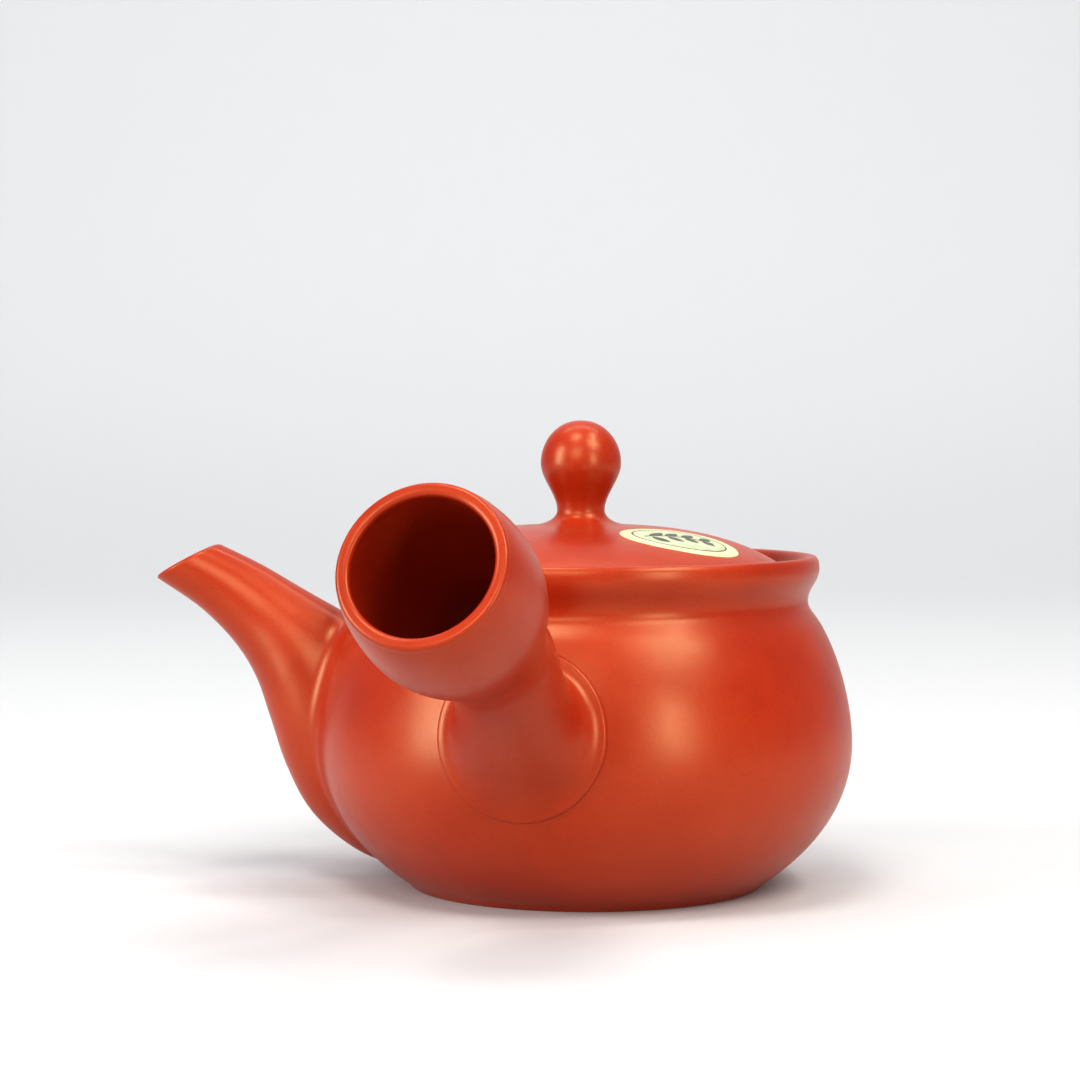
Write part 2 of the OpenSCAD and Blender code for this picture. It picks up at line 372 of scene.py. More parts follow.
@dataclass(frozen=True)
class ClayFinish:
    """Fired unglazed clay: mottled, grained and rubbed to a satin shine."""

    name: str
    deep: Triple = (0.300, 0.016, 0.002)
    base: Triple = (0.352, 0.023, 0.003)
    pale: Triple = (0.385, 0.033, 0.006)
    dark_speck: Triple = (0.74, 0.70, 0.70)
    pale_speck: Triple = (1.10, 1.16, 1.2)
    speckle: float = 0.8
    rough: Pair = (0.29, 0.36)
    gloss: float = 0.66
    gloss_tint: Triple = (1.0, 0.88, 0.50)
    grain: float = 0.5
    streaks: float = 0.5

    def colour(
        self, n: Nodes, place: bpy.types.NodeSocket, speck: bpy.types.NodeSocket,
    ) -> bpy.types.NodeSocket:
        """The clay's colour: broad mottling with fine dark and pale specks over it.

        Args:
            n: the shader's nodes.
            place: the output with the place on the object.
            speck: the output of the fine grain.

        Returns:
            The colour output.
        """
        cloud = n.noise(place, 34.0, 4.0, 0.55)
        mottled = n.ramp(cloud, [(0.30, self.deep), (0.50, self.base), (0.72, self.pale)])
        plain = (1, 1, 1)
        dots = n.ramp(speck, [(0.28, self.dark_speck), (0.42, plain), (0.66, plain), (0.80, self.pale_speck)])
        tinted = n.add("Mix", data_type="RGBA", blend_type="MULTIPLY")
        tinted.inputs[0].default_value = self.speckle
        n.tree.links.new(mottled, tinted.inputs[6])
        n.tree.links.new(dots, tinted.inputs[7])
        return tinted.outputs[2]

    def relief(
        self, n: Nodes, place: bpy.types.NodeSocket, speck: bpy.types.NodeSocket,
    ) -> bpy.types.NodeSocket:
        """The clay's relief: soft waves, then turning lines, then fine grain.

        Args:
            n: the shader's nodes.
            place: the output with the place on the object.
            speck: the output of the fine grain.

        Returns:
            The normal output.
        """
        bands = n.add("Mapping", {"Vector": place, "Scale": (7.0, 7.0, 900.0)}).outputs["Vector"]
        layers = [
            (0.35, 0.0003, n.noise(place, 60.0, 1.0)),
            (self.streaks, 0.00002, n.noise(bands, 1.0, 3.0)),
            (self.grain, 0.00003, speck),
        ]
        under: dict = {}
        for strength, depth, height in layers:
            bump = n.add("Bump", {"Strength": strength, "Distance": depth, "Height": height, **under})
            under = {"Normal": bump.outputs["Normal"]}
        return under["Normal"]

    def build(self) -> bpy.types.Material:
        """Lays out the clay's shader.

        Returns:
            The material.
        """
        made, n, place = bare_material(self.name)
        speck = n.noise(place, 2300.0, 2.0, 0.6)
        rub = n.noise(place, 110.0, 5.0, 0.65)
        n.surface({
            "Base Color": self.colour(n, place, speck),
            "Roughness": n.span(rub, (0.3, self.rough[0]), (0.7, self.rough[1])),
            "Specular IOR Level": self.gloss,
            "Specular Tint": (*self.gloss_tint, 1.0),
            "Normal": self.relief(n, place, speck),
        })
        return made


@dataclass(frozen=True)
class PaperFinish:
    """Thin printed paper or ink: faintly mottled, with a soft sheen."""

    name: str
    low: Triple
    high: Triple
    rough: float = 0.4
    rough_span: float = 0.12
    fibre: float = 0.3

    def build(self) -> bpy.types.Material:
        """Lays out the paper's shader.

        Returns:
            The material.
        """
        made, n, place = bare_material(self.name)
        mottle = n.noise(place, 420.0, 5.0, 0.6)
        fibres = n.noise(place, 1900.0, 3.0, 0.7)
        bump = n.add("Bump", {"Strength": self.fibre, "Distance": 0.00002, "Height": fibres})
        n.surface({
            "Base Color": n.ramp(mottle, [(0.35, self.low), (0.65, self.high)]),
            "Roughness": n.span(fibres, (0.3, self.rough), (0.7, self.rough + self.rough_span)),
            "Normal": bump.outputs["Normal"],
        })
        return made


# ---------------------------------------------------------------- the pieces


@dataclass
class Piece:
    """One finished object and where it belongs."""

    made: bpy.types.Object
    rides_on: Body
    slot: Slot
    stands_for: tuple[str, ...] = ()

    def settle(self) -> None:
        """Hands the piece to its body, hides the nodes that it stands for, and logs its material slot."""
        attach(self.made, self.rides_on.value)
        if self.stands_for:
            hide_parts(*self.stands_for)
        faces = len(self.made.data.polygons)
        log.info("%s: %d faces on %s, slot %s", self.made.name, faces, self.rides_on.value, self.slot.value)


@dataclass
class Vessel:
    """The thrown body: foot, belly, neck, rolled rim, and the recess that the lid sits in."""

    foot_r: float = 34.4
    belly_r: float = 51.98
    belly_h: float = 28.0
    inner_r: float = 49.0
    floor_h: float = 3.4
    neck_r: float = 43.3
    neck_h: float = 55.8
    mouth_r: float = 36.8
    seat_h: float = 60.4
    collar_r: float = 45.5
    collar_h: float = 62.0
    rim_r: float = 44.3
    rim_h: float = 64.4
    hole_d: float = 19.0
    hole_h: float = 30.0
    hole_cut: float = 12.0
    sides: int = 288

    def outside(self) -> np.ndarray:
        """Draws the outer outline.

        Returns:
            Its (radius, height) from the foot's edge to the top of the rim.
        """
        belly, neck, collar, rim = self.belly_r, self.neck_r, self.collar_r, self.rim_h
        return np.vstack([
            [(self.foot_r, 0.0)],
            bezier([(35.2, 1.0), (48.0, 9.6), (belly, 19.4), (belly, self.belly_h)], 60),
            bezier([(belly, self.belly_h), (belly, 34.5), (50.0, 43.6), (46.1, 50.7)], 44),
            bezier([(46.1, 50.7), (44.8, 53.1), (neck, 53.9), (neck, self.neck_h)], 22),
            bezier([(neck, self.neck_h), (neck, 58.2), (collar, 59.6), (collar, self.collar_h)], 24),
            bezier([(collar, self.collar_h), (collar, 63.6), (45.1, rim), (self.rim_r, rim)], 14),
        ])

    def inside(self) -> np.ndarray:
        """Draws the inner outline, with the seat that the lid rests on.

        Returns:
            Its (radius, height) from the top of the rim to near the middle of the floor.
        """
        seat, mouth, inner, floor = self.seat_h, self.mouth_r, self.inner_r, self.floor_h
        return np.vstack([
            bezier([(self.rim_r, self.rim_h), (43.2, self.rim_h), (42.9, 63.9), (42.2, 62.4)], 12),
            bezier([(42.2, 62.4), (41.6, 61.2), (41.2, 60.5), (40.2, seat)], 10),
            bezier([(40.2, seat), (39.2, seat), (38.6, seat), (37.5, seat)], 6),
            bezier([(37.5, seat), (37.0, seat), (mouth, 60.2), (mouth, 59.6)], 8),
            bezier([(mouth, 59.6), (mouth, 58.8), (mouth, 58.2), (mouth, 57.4)], 4),
            bezier([(mouth, 57.4), (mouth, 53.4), (40.7, 52.6), (43.6, 47.8)], 24),
            bezier([(43.6, 47.8), (47.3, 41.0), (inner, 33.5), (inner, self.belly_h)], 26),
            bezier([(inner, self.belly_h), (inner, 20.2), (45.3, 11.6), (34.6, 4.2)], 36),
            bezier([(34.6, 4.2), (33.5, 3.5), (32.0, floor), (30.0, floor)], 8),
            [(20.0, floor), (10.0, floor), (2.0, floor)],
        ])

    def radius_at(self, height: np.ndarray | float) -> np.ndarray:
        """The outer radius.

        Args:
            height: the height, or several of them.

        Returns:
            The radius there, or at each of them.
        """
        line = self.outside()
        keep = np.concatenate([[True], np.diff(line[:, 1]) > TINY])
        return np.interp(height, line[keep, 1], line[keep, 0])

    def onto(self, points: np.ndarray, proud: float = 0.0) -> np.ndarray:
        """Points moved level with the outer surface.

        Args:
            points: the points, with xyz along the last axis.
            proud: how far outside the surface they come to lie.

        Returns:
            The moved points, none lower than just above the foot.
        """
        out = np.array(points, float)
        out[..., 2] = np.maximum(out[..., 2], 0.3)
        far = np.hypot(out[..., 0], out[..., 1])
        want = self.radius_at(out[..., 2]) + proud
        out[..., 0] *= want / far
        out[..., 1] *= want / far
        return out

    def build(self, clay: bpy.types.Material) -> Piece:
        """The body, with the hole behind the spout cut through it.

        Args:
            clay: its finish.

        Returns:
            The piece.
        """
        foot = np.vstack([
            [(2.0, 0.0), (12.0, 0.0), (24.0, 0.0), (31.0, 0.0), (33.4, 0.0)],
            bezier([(33.8, 0), (34.3, 0), (34.6, 0.3), (35.2, 1.0)], 10),
        ])
        outline = np.vstack([foot, self.outside()[1:], self.inside()])
        made = Skin.revolved(outline, self.sides).to_object("pot_body")
        drill(made, (-self.belly_r - 2, 0, self.hole_h), (1, 0, 0), self.hole_cut, self.hole_d)
        dress(made, clay)
        return Piece(made, Body.POT, Slot.RED_CLAY, ("body",))


@dataclass
class Spout:
    """The short bent spout, blended into the body with a soft hollow seam."""

    vessel: Vessel
    lip: float = 1.7
    wall: float = 2.6
    seam: float = 4.5
    start: float = 0.8
    lip_bulge: float = 0.78
    sides: int = 144
    # Sections from the mouth to the root: how far out along -X and how high the underside lies,
    # the same two for the upper side, and half the width.
    rows: list[tuple[float, float, float, float, float]] = field(default_factory=lambda: [
        (87.0, 59.4, 74.4, 66.2, 5.8),
        (77.6, 53.2, 66.0, 62.3, 6.1),
        (70.6, 46.4, 59.0, 58.4, 7.2),
        (66.2, 39.6, 54.0, 55.6, 8.6),
        (63.2, 31.4, 49.2, 53.0, 10.0),
        (59.8, 21.6, 44.0, 50.0, 11.3),
        (54.6, 12.6, 38.0, 46.0, 12.2),
        (46.0, 5.6, 31.0, 40.0, 12.6),
        (36.0, 1.6, 24.0, 34.0, 12.0),
    ])

    def section(self, u: float) -> np.ndarray:
        """The section between the rows, on a smooth curve through them.

        Args:
            u: the place, from 0 at the mouth to the last row's number.

        Returns:
            The five measures of a row.
        """
        table = np.array(self.rows)
        table = np.vstack([2 * table[0] - table[1], table, 2 * table[-1] - table[-2]])
        k = min(int(u), len(self.rows) - 2)
        t = u - k
        p0, p1, p2, p3 = table[k : k + 4]
        return 0.5 * (2 * p1 + (p2 - p0) * t + (2 * p0 - 5 * p1 + 4 * p2 - p3) * t * t
                      + (3 * p1 - p0 - 3 * p2 + p3) * t**3)

    def ring(self, u: float, drawn_in: float) -> np.ndarray:
        """The oval ring at a place.

        Args:
            u: the place, from 0 at the mouth to the last row's number.
            drawn_in: how far the ring lies inside the outer skin.

        Returns:
            The ring's points.
        """
        low_x, low_z, high_x, high_z, half_width = self.section(u)
        across = np.array([-(high_x - low_x), 0.0, high_z - low_z])
        half = np.linalg.norm(across) / 2
        turn = np.linspace(0, FULL_TURN, self.sides, endpoint=False)[:, None]
        middle = np.array([-(low_x + high_x) / 2, 0.0, (low_z + high_z) / 2])
        return (middle + np.cos(turn) * (half - drawn_in) / half * across / 2
                + np.sin(turn) * np.array([0.0, half_width - drawn_in, 0.0]))

    def reach(self, columns: np.ndarray, inside: float) -> np.ndarray:
        """Finds where each column goes through the body.

        Args:
            columns: grid of points, rows along the column, then sides, then xyz.
            inside: how far inside the body's surface to look.

        Returns:
            The length along each column up to there.
        """
        far = np.hypot(columns[..., 0], columns[..., 1])
        gap = far - (self.vessel.radius_at(columns[..., 2]) - inside)
        steps = np.linalg.norm(np.diff(columns, axis=0), axis=2)
        at = np.vstack([np.zeros(columns.shape[1]), np.cumsum(steps, axis=0)])
        found = np.empty(columns.shape[1])
        for i in range(columns.shape[1]):
            k = int(np.argmax(gap[:, i] < 0))
            share = gap[k - 1, i] / (gap[k - 1, i] - gap[k, i])
            found[i] = at[k - 1, i] + share * (at[k, i] - at[k - 1, i])
        return found

    def build(self, clay: bpy.types.Material) -> Piece:
        """The spout: outside, seam, rounded lip and open channel.

        Args:
            clay: its finish.

        Returns:
            The piece.
        """
        places = np.linspace(0, len(self.rows) - 1, 321)
        outer = np.stack([self.ring(u, 0.0) for u in places])
        inner = np.stack([self.ring(u, min(self.wall, self.lip + 0.3 * u + 0.15)) for u in places])
        hits = self.reach(outer, 0.0)
        turn_in = np.full(self.sides, self.start)
        skin_out = resample(outer, turn_in, hits - self.seam, 96)
        struck = resample(outer, hits, hits, 2)[0]
        run = np.roll(struck, -1, axis=0) - np.roll(struck, 1, axis=0)
        normal = unit(struck * np.array([1.0, 1.0, 0.0]) + np.array([0.0, 0.0, TINY]))
        away = unit(np.cross(run, normal))
        away *= np.sign(np.einsum("ij,ij->i", away, struck - struck.mean(axis=0)))[:, None]
        landed = self.vessel.onto(struck + away * self.seam, 0.02)
        t = np.linspace(0, 1, 16)[1:, None, None]
        seam = (1 - t) ** 2 * skin_out[-1] + 2 * t * (1 - t) * struck + t * t * landed
        hem = self.vessel.onto(struck + away * (self.seam + 0.8), -0.6)[None]
        skin_in = resample(inner, turn_in, self.reach(inner, 0.5), 72)
        back = unit(outer[4] - outer[0])
        middle, half = (skin_out[0] + skin_in[0]) / 2, (skin_out[0] - skin_in[0]) / 2
        turn = np.linspace(0, math.pi, 13)[1:-1, None, None]
        lip = middle + np.cos(turn) * half - np.sin(turn) * back * self.lip_bulge
        rings = np.concatenate([hem, seam[::-1], skin_out[::-1], lip, skin_in])
        made = Skin.from_rings(rings, looped=True).to_object("pot_spout")
        dress(made, clay)
        return Piece(made, Body.POT, Slot.RED_CLAY, ("spout",))


@dataclass
class Handle:
    """The hollow handle: open end, swelling barrel, waist, and a round foot on the belly."""

    vessel: Vessel
    turn: float = 81.5
    rise: float = 25.0
    side: float = 4.7
    reach: float = 108.2
    mouth_h: float = 67.8
    barrel_r: float = 16.05
    waist_r: float = 10.2
    waist_at: float = 41.0
    hollow_r: float = 13.5
    bore_r: float = 7.9
    foot_turn: float = 3.0
    foot_rise: float = 9.0
    foot_r: float = 15.8
    foot_h: float = 34.7
    proud: float = 1.0
    sides: int = 192
    out: np.ndarray = field(init=False)
    mouth: np.ndarray = field(init=False)
    foot_out: np.ndarray = field(init=False)
    foot: np.ndarray = field(init=False)

    def __post_init__(self) -> None:
        """Works out the handle's axis, the middle of its mouth and of its foot."""
        flat, self.out = self.heading(180 + self.turn, self.rise)
        across = np.array([-flat[1], flat[0], 0.0])
        self.mouth = self.reach * flat + self.side * across + np.array([0.0, 0.0, self.mouth_h])
        foot_flat, self.foot_out = self.heading(180 + self.foot_turn + self.turn, self.foot_rise)
        self.foot = (self.vessel.belly_r - 0.5) * foot_flat + np.array([0.0, 0.0, self.foot_h])

    @staticmethod
    def heading(turn: float, rise: float) -> tuple[np.ndarray, np.ndarray]:
        """A direction from its angles.

        Args:
            turn: degrees about Z from +X.
            rise: degrees above the level.

        Returns:
            The level direction, and the one that rises from it.
        """
        az, up = math.radians(turn), math.radians(rise)
        flat = np.array([math.cos(az), math.sin(az), 0.0])
        return flat, math.cos(up) * flat + np.array([0.0, 0.0, math.sin(up)])

    def hoop(self, middle: np.ndarray, out: np.ndarray, radius: np.ndarray | float) -> np.ndarray:
        """A ring of points square to a direction.

        Args:
            middle: the ring's middle.
            out: the direction.
            radius: the ring's radius, or one for each side.

        Returns:
            The ring's points.
        """
        level = unit(np.array([-out[1], out[0], 0.0]))
        up = np.cross(out, level)
        a = np.linspace(0, FULL_TURN, self.sides, endpoint=False)[:, None]
        return middle + radius * (np.cos(a) * level + np.sin(a) * up)

    def upper_right(self) -> np.ndarray:
        """How near each side of a ring is to the upper right: 1 there, 0 at the lower left."""
        a = np.linspace(0, FULL_TURN, self.sides, endpoint=False)
        return 0.5 + 0.5 * np.cos(a - math.radians(50))

    def on_foot(self, radius: np.ndarray | float, proud: np.ndarray | float) -> np.ndarray:
        """A ring about the foot's axis, each point moved along it to the body.

        Args:
            radius: the ring's radius, or one for each side.
            proud: how far outside the body's surface the points come to lie.

        Returns:
            The ring's points.
        """
        ring = self.hoop(self.foot, self.foot_out, radius)
        for _ in range(12):
            far = np.hypot(ring[:, 0], ring[:, 1])
            short = self.vessel.radius_at(ring[:, 2]) + proud - far
            ring = ring + short[:, None] * self.foot_out
        return ring

    def build(self, clay: bpy.types.Material) -> Piece:
        """The handle as one skin from the foot's edge over the lip to the end of the bore.

        Args:
            clay: its finish.

        Returns:
            The piece.
        """
        hollow, bore_r, barrel_r, waist = self.hollow_r, self.bore_r, self.barrel_r, self.waist_at
        bore = np.vstack([
            bezier([(12.2, 1.2), (13.2, 4.5), (hollow, 10), (hollow, 14)], 30),
            bezier([(hollow, 14), (hollow, 24), (bore_r, 30), (bore_r, waist)], 44),
            bezier([(bore_r, waist), (bore_r, 44), (bore_r, 47), (bore_r, 49)], 8),
            bezier([(bore_r, 49), (bore_r, 52), (5.0, 53), (0.6, 53)], 12, closed=True),
        ])
        lip = bezier([(13.3, 0), (12.5, 0), (12.1, 0.4), (12.2, 1.2)], 10)
        rim = np.vstack([
            bezier([(14.55, 1.0), (14.5, 0.35), (14.2, 0), (13.7, 0)], 10),
            bezier([(13.7, 0), (13.6, 0), (13.4, 0), (13.3, 0)], 3),
        ])
        barrel = np.vstack([
            bezier([(self.waist_r, waist), (self.waist_r, 31), (barrel_r, 24.5), (barrel_r, 14)], 70),
            bezier([(barrel_r, 14), (barrel_r, 9), (15.55, 4.4), (14.55, 1.0)], 40),
        ])
        run = np.vstack([barrel, rim, lip, bore])
        tube = np.stack([self.hoop(self.mouth - d * self.out, self.out, r) for r, d in run])
        near = self.upper_right()
        swell = self.proud * (0.32 + 0.68 * near)
        edge = self.on_foot(self.foot_r - 0.7, swell)
        pull = self.on_foot((self.foot_r - 4.6 - 2.8 * near)[:, None], swell + 0.3)
        bend = tube[0] - (14.0 - 5.0 * near)[:, None] * self.out
        neck = bezier([edge, pull, bend, tube[0]], 72)
        hem = [self.on_foot(self.foot_r + 0.05, sunk) for sunk in (-0.8, -0.1)]
        rounding = [(0.0, 0.35), (0.08, 0.7), (0.25, 0.92), (0.45, 0.99)]
        hem += [self.on_foot(self.foot_r - in_by, swell * share) for in_by, share in rounding]
        made = Skin.from_rings(np.concatenate([np.stack(hem), neck, tube])).to_object("pot_handle")
        dress(made, clay)
        return Piece(made, Body.POT, Slot.RED_CLAY, ("handle",))


@dataclass
class Lid:
    """The drop-in lid with its flange, its ball knob and a steam hole on the far side."""

    shift: float = -1.0
    edge_r: float = 39.6
    rest_h: float = 60.5
    flange_r: float = 35.4
    flange_in: float = 32.8
    flange_h: float = 53.9
    hole_d: float = 2.6
    hole_at: float = 26.0
    hole_cut: float = 12.0
    knob_r: float = 7.85
    knob_neck: float = 4.65
    knob_top: float = 90.7
    sides: int = 256
    knob_sides: int = 160

    def crown(self) -> np.ndarray:
        """Draws the upper surface.

        Returns:
            Its (radius, height) from the knob's root to the edge.
        """
        edge = self.edge_r
        return np.vstack([
            bezier([(8.2, 70.3), (20.0, 70.0), (30.5, 68.0), (38.4, 63.0)], 60),
            bezier([(38.4, 63.0), (39.2, 62.5), (edge, 62.1), (edge, 61.5)], 14),
        ])

    def height_at(self, radius: np.ndarray) -> np.ndarray:
        """The height of the upper surface at some distance from the lid's middle."""
        line = self.crown()
        return np.interp(radius, line[:, 0], line[:, 1])

    def build(self, clay: bpy.types.Material) -> Piece:
        """The lid with its steam hole.

        Args:
            clay: its finish.

        Returns:
            The piece.
        """
        edge, rest = self.edge_r, self.rest_h
        outer, inner, bottom = self.flange_r, self.flange_in, self.flange_h
        outline = np.vstack([
            [(1.5, 70.3), (4.5, 70.32), (7.0, 70.32)],
            self.crown(),
            bezier([(edge, 61.5), (edge, 60.9), (39.3, rest), (38.6, rest)], 8),
            bezier([(38.6, rest), (37.6, rest), (36.8, rest), (35.8, rest)], 4),
            bezier([(35.8, rest), (35.5, rest), (outer, 60.4), (outer, 60.1)], 5),
            bezier([(outer, 60.1), (outer, 58), (outer, 56), (outer, 54.6)], 8),
            bezier([(outer, 54.6), (outer, 54.1), (34.9, bottom), (34.1, bottom)], 6),
            bezier([(34.1, bottom), (33.3, bottom), (inner, 54.1), (inner, 54.6)], 6),
            bezier([(inner, 54.6), (inner, 56.5), (inner, 58.6), (inner, 60.6)], 8),
            bezier([(inner, 60.6), (32.4, 62.4), (30.0, 64.9), (24.0, 66.4)], 14),
            bezier([(24.0, 66.4), (19.0, 67.3), (13.0, 67.5), (8.2, 67.5)], 14),
            [(6.0, 67.5), (2.0, 67.5)],
        ])
        made = Skin.revolved(outline, self.sides, (self.shift, 0)).to_object("lid_cover")
        drill(made, (self.shift, self.hole_at, 60), (0, 0, 1), self.hole_cut, self.hole_d)
        dress(made, clay)
        return Piece(made, Body.LID, Slot.RED_CLAY, ("lid",))

    def build_knob(self, clay: bpy.types.Material) -> Piece:
        """The ball knob on its narrow neck.

        Args:
            clay: its finish.

        Returns:
            The piece.
        """
        ball, neck, top = self.knob_r, self.knob_neck, self.knob_top
        outline = np.vstack([
            [(1.0, 69.2), (8.6, 69.2), (9.3, 69.9)],
            bezier([(9.6, 70.22), (6.6, 70.5), (neck, 71.6), (neck, 73.3)], 22),
            bezier([(neck, 73.3), (4.75, 76.4), (ball, 79.2), (ball, 82.4)], 30),
            bezier([(ball, 82.4), (ball, 87.0), (4.425, top), (0.25, top)], 36, closed=True),
        ])
        made = Skin.revolved(outline, self.knob_sides, (self.shift, 0)).to_object("lid_knob")
        dress(made, clay)
        return Piece(made, Body.LID, Slot.RED_CLAY, ("knob",))


@dataclass
class Sticker:
    """The oval paper label on the lid, with a plain border and a leaf spray printed on it."""

    lid: Lid
    length: float = 23.0
    width: float = 16.5
    off: float = 25.5
    at: float = -35.0
    turn: float = 23.0
    thick: float = 0.2
    field_size: float = 0.79
    leaves: int = 4
    sides: int = 144

    def place(self, across: np.ndarray, along: np.ndarray, lift: float) -> np.ndarray:
        """Points on the lid from the label's own coordinates.

        Args:
            across: position along the long axis, from -1 to 1.
            along: position along the short axis, from -1 to 1.
            lift: height above the lid.

        Returns:
            The points.
        """
        at, turn = math.radians(self.at), math.radians(self.turn)
        x = self.off * math.cos(at) + across * self.length / 2 * math.cos(turn)
        x = x - along * self.width / 2 * math.sin(turn)
        y = self.off * math.sin(at) + across * self.length / 2 * math.sin(turn)
        y = y + along * self.width / 2 * math.cos(turn)
        z = self.lid.height_at(np.hypot(x, y)) + lift
        return np.stack([x + self.lid.shift, y, z], axis=-1)

    def disc(self, steps: list[Pair]) -> Skin:
        """An oval skin that follows the lid.

        Args:
            steps: the size of each ring, 1 at the label's edge, and its height above the lid.

        Returns:
            The skin.
        """
        turn = np.linspace(0, FULL_TURN, self.sides, endpoint=False)
        across, along = np.cos(turn), np.sin(turn)
        return Skin.from_rings(np.stack([self.place(s * across, s * along, lift) for s, lift in steps]))

    def build(self, paper: bpy.types.Material) -> Piece:
        """The paper, following the lid, with a rounded edge.

        Args:
            paper: its finish.

        Returns:
            The piece.
        """
        steps = [(s, self.thick) for s in np.linspace(0.02, 0.97, 30)]
        steps += [(0.985, self.thick * 0.97), (0.996, self.thick * 0.8), (1.0, self.thick * 0.45)]
        steps += [(1.0, -0.12), (0.9, -0.15), (0.5, -0.15), (0.02, -0.15)]
        made = self.disc(steps).to_object("lid_label")
        dress(made, paper)
        return Piece(made, Body.LID, Slot.FOIL, ("label",))

    def build_field(self, tint: bpy.types.Material) -> Piece:
        """The tinted oval printed inside the label's plain border.

        Args:
            tint: its finish.

        Returns:
            The piece.
        """
        steps = [(s, self.thick + 0.012) for s in np.linspace(0.02, self.field_size, 24)]
        steps += [(s, self.thick - 0.05) for s in (self.field_size, 0.4, 0.02)]
        made = self.disc(steps).to_object("lid_label_field")
        dress(made, tint)
        return Piece(made, Body.LID, Slot.FOIL)

    def stroke(self, path: np.ndarray, widths: np.ndarray) -> Skin:
        """A brush stroke printed along a path in the label's own coordinates.

        Args:
            path: points from -1 to 1 each way.
            widths: the half width in millimetres at each point.

        Returns:
            The stroke, a closed sliver that stands just above the paper.
        """
        scale = np.array([self.length / 2, self.width / 2])
        real = path * scale
        way = unit(np.gradient(real, axis=0))
        side = np.stack([-way[:, 1], way[:, 0]], axis=1) * widths[:, None]
        left, right = (real + side) / scale, (real - side) / scale
        top, low = self.thick + 0.03, self.thick - 0.06
        edges = [(left, top), (right, top), (right, low), (left, low)]
        return Skin.from_rings(np.stack([self.place(*line.T, lift) for line, lift in edges], axis=1))

    def border(self, size: float, half: float) -> Skin:
        """A thin printed oval line.

        Args:
            size: the oval's size, 1 at the label's edge.
            half: half the line's width in millimetres.

        Returns:
            The line.
        """
        t = np.linspace(0, FULL_TURN, 160)
        path = size * np.stack([np.cos(t), np.sin(t)], axis=1)
        return self.stroke(path, np.full(len(t), half))

    def leaf(self, start: Pair, lean: float, length: float) -> Skin:
        """A pointed leaf.

        Args:
            start: where it starts, in the label's own coordinates.
            lean: its direction there in radians.
            length: its length in millimetres.

        Returns:
            The leaf.
        """
        count = 24
        t = np.linspace(0, 1, count)
        bend = lean + 0.5 * t
        x = start[0] + np.cumsum(np.cos(bend)) * length / count / (self.length / 2)
        y = start[1] + np.cumsum(np.sin(bend)) * length / count / (self.width / 2)
        path = np.stack([x, y], axis=1)
        return self.stroke(path, 0.06 + 0.9 * np.sin(math.pi * t) ** 0.9)

    def build_ink(self, ink: bpy.types.Material) -> Piece:
        """The print: a fine border line and a spray of broad leaves on a curved stem.

        Args:
            ink: its finish.

        Returns:
            The piece.
        """
        t = np.linspace(0, 1, 40)
        stem = np.stack([-0.62 + 1.2 * t, 0.22 * np.sin(2.8 * t) - 0.12], axis=1)
        spray = self.border(self.field_size, 0.16).joined(self.stroke(stem, np.full(len(t), 0.2)))
        for k in range(self.leaves):
            s = 0.06 + 0.25 * k
            x, y = float(np.interp(s, t, stem[:, 0])), float(np.interp(s, t, stem[:, 1]))
            spray = spray.joined(self.leaf((x, y), 0.55, 5.2 - 0.5 * k))
            spray = spray.joined(self.leaf((x + 0.06, y), -1.15, 4.4 - 0.5 * k))
        made = spray.to_object("lid_label_ink")
        dress(made, ink)
        return Piece(made, Body.LID, Slot.FOIL)


@dataclass(frozen=True)
class Lamp:
    """A soft light. Places are in metres to the right of, away from and above the pot."""

    name: str
    place: Triple
    size: Pair
    power: float
    tint: Triple = (1.0, 0.97, 0.92)
    aim: Triple = (0.0, 0.0, 0.04)


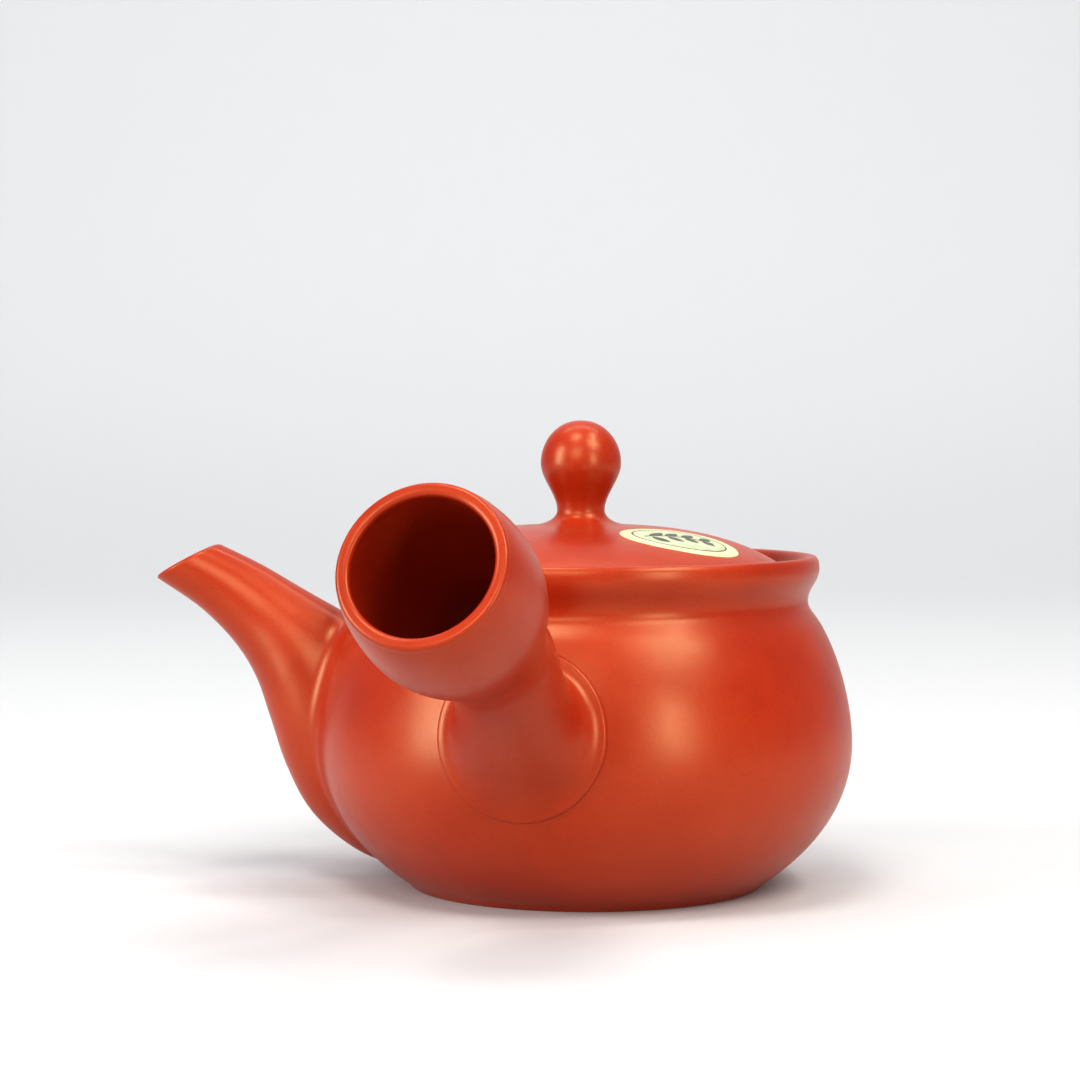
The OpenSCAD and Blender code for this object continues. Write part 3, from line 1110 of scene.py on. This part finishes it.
@dataclass
class Studio:
    """A pale seamless table, soft lights and the camera. Its places are in metres."""

    eye: Triple = (0.0760, -0.5410, 0.0904)
    tilt: float = 87.58
    pan: float = 8.94
    lens: float = 93.1
    sensor: float = 36.0
    gamma: float = 0.82
    table_colour: Triple = (0.58, 0.584, 0.59)
    air: Triple = (0.95, 0.97, 1.0)
    air_glow: float = 0.38
    cool: Triple = (0.97, 0.98, 1.0)

    def lamps(self) -> list[Lamp]:
        """Lists the lights: a small hard key, broad soft fills and one for the backdrop.

        Returns:
            The lights.
        """
        return [
            Lamp("key", (0.62, -0.12, 1.35), (0.2, 0.2), 3.5),
            Lamp("skylight", (0.75, -0.65, 1.15), (0.62, 0.62), 12.0),
            Lamp("overhead", (-0.28, -0.42, 1.40), (0.45, 0.45), 8.0),
            Lamp("window_right", (0.80, -1.1, 0.35), (0.3, 0.6), 6.0),
            Lamp("window_left", (-1.2, -0.5, 0.45), (0.45, 0.9), 14.0, self.cool),
            Lamp("front", (-0.35, -1.30, 0.75), (0.7, 0.7), 8.0),
            Lamp("backdrop", (0.0, 0.75, 1.9), (2.4, 0.5), 23.0, self.cool, (0.0, 1.7, 0.5)),
        ]

    def towards(self, right: float, away: float, up: float) -> Vector:
        """A place as the camera sees it from the pot.

        Args:
            right: how far to the right of the pot.
            away: how far behind it.
            up: how far above the table.

        Returns:
            The place.
        """
        a = math.radians(self.pan)
        x = right * math.cos(a) - away * math.sin(a)
        y = right * math.sin(a) + away * math.cos(a)
        return Vector((x, y, up))

    def hang(self, lamp: Lamp) -> None:
        """Adds one light to the scene.

        Args:
            lamp: what it is like and where it goes.
        """
        data = bpy.data.lights.new(lamp.name, "AREA")
        data.shape = "RECTANGLE"
        data.size, data.size_y = lamp.size
        data.energy = lamp.power
        data.color = lamp.tint
        made = bpy.data.objects.new(lamp.name, data)
        made.location = self.towards(*lamp.place)
        sight = self.towards(*lamp.aim) - self.towards(*lamp.place)
        made.rotation_euler = sight.to_track_quat("-Z", "Y").to_euler()
        bpy.context.scene.collection.objects.link(made)

    def table(self) -> bpy.types.Object:
        """The table top, which curves up behind into the backdrop.

        Returns:
            The object.
        """
        # How far away and how high, in millimetres.
        line = np.vstack([
            [(-2500.0, 0.0), (-600.0, 0.0), (0.0, 0.0), (700.0, 0.0)],
            bezier([(900, 0), (1500, 0), (1700, 200), (1700, 900)], 40),
            [(1700.0, 2400.0)],
        ])
        points, faces = [], []
        for x in (-2600.0, 2600.0):
            points += [self.towards(x, y, z) * MM for y, z in line]
        for k in range(len(line) - 1):
            faces.append((k, k + 1, len(line) + k + 1, len(line) + k))
        mesh = bpy.data.meshes.new("table_top")
        mesh.from_pydata(points, [], faces)
        mesh.polygons.foreach_set("use_smooth", [True] * len(mesh.polygons))
        made = bpy.data.objects.new("table_top", mesh)
        bpy.context.scene.collection.objects.link(made)
        paint = bpy.data.materials.new("white_table")
        paint.use_nodes = True
        shader = paint.node_tree.nodes["Principled BSDF"]
        shader.inputs["Base Color"].default_value = (*self.table_colour, 1)
        shader.inputs["Roughness"].default_value = 0.7
        shader.inputs["Specular IOR Level"].default_value = 0.2
        mesh.materials.append(paint)
        return made

    def shoot(self) -> None:
        """Sets the camera."""
        data = bpy.data.cameras.new("camera")
        data.lens, data.sensor_width = self.lens, self.sensor
        camera = bpy.data.objects.new("camera", data)
        camera.location = self.eye
        camera.rotation_euler = (math.radians(self.tilt), 0, math.radians(self.pan))
        bpy.context.scene.collection.objects.link(camera)
        bpy.context.scene.camera = camera

    def build(self) -> None:
        """Sets the table, the lights, the world and the camera."""
        self.table()
        for lamp in self.lamps():
            self.hang(lamp)
        world = bpy.data.worlds.new("studio")
        world.use_nodes = True
        glow = world.node_tree.nodes["Background"]
        glow.inputs["Color"].default_value = (*self.air, 1)
        glow.inputs["Strength"].default_value = self.air_glow
        scene = bpy.context.scene
        scene.world = world
        scene.view_settings.view_transform = "Standard"
        scene.view_settings.gamma = self.gamma
        self.shoot()


def dress_strainer(clay: bpy.types.Material) -> None:
    """Gives the strainer's own mesh its finish.

    Args:
        clay: the finish.
    """
    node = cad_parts["strainer"]
    dress(node, clay)
    log.info("strainer: %d faces, slot %s", len(node.data.polygons), Slot.RAW_CLAY.value)


def main() -> None:
    """Builds every piece and the studio."""
    logging.basicConfig(level=logging.INFO, format="%(message)s")
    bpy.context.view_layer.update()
    clay = ClayFinish("burnished_clay").build()
    raw = ClayFinish("raw_clay", rough=(0.6, 0.75), gloss=0.3, grain=0.9).build()
    vessel = Vessel()
    lid = Lid()
    sticker = Sticker(lid)
    pieces = [
        vessel.build(clay),
        Spout(vessel).build(clay),
        Handle(vessel).build(clay),
        lid.build(clay),
        lid.build_knob(clay),
        sticker.build(PaperFinish("label_paper", (0.66, 0.56, 0.30), (0.78, 0.70, 0.42)).build()),
        sticker.build_field(PaperFinish("label_field", (0.40, 0.43, 0.28), (0.52, 0.54, 0.38)).build()),
        sticker.build_ink(PaperFinish("label_print", (0.07, 0.08, 0.06), (0.13, 0.14, 0.10)).build()),
    ]
    for piece in pieces:
        piece.settle()
    dress_strainer(raw)
    Studio().build()


if __name__ == "__main__":
    main()
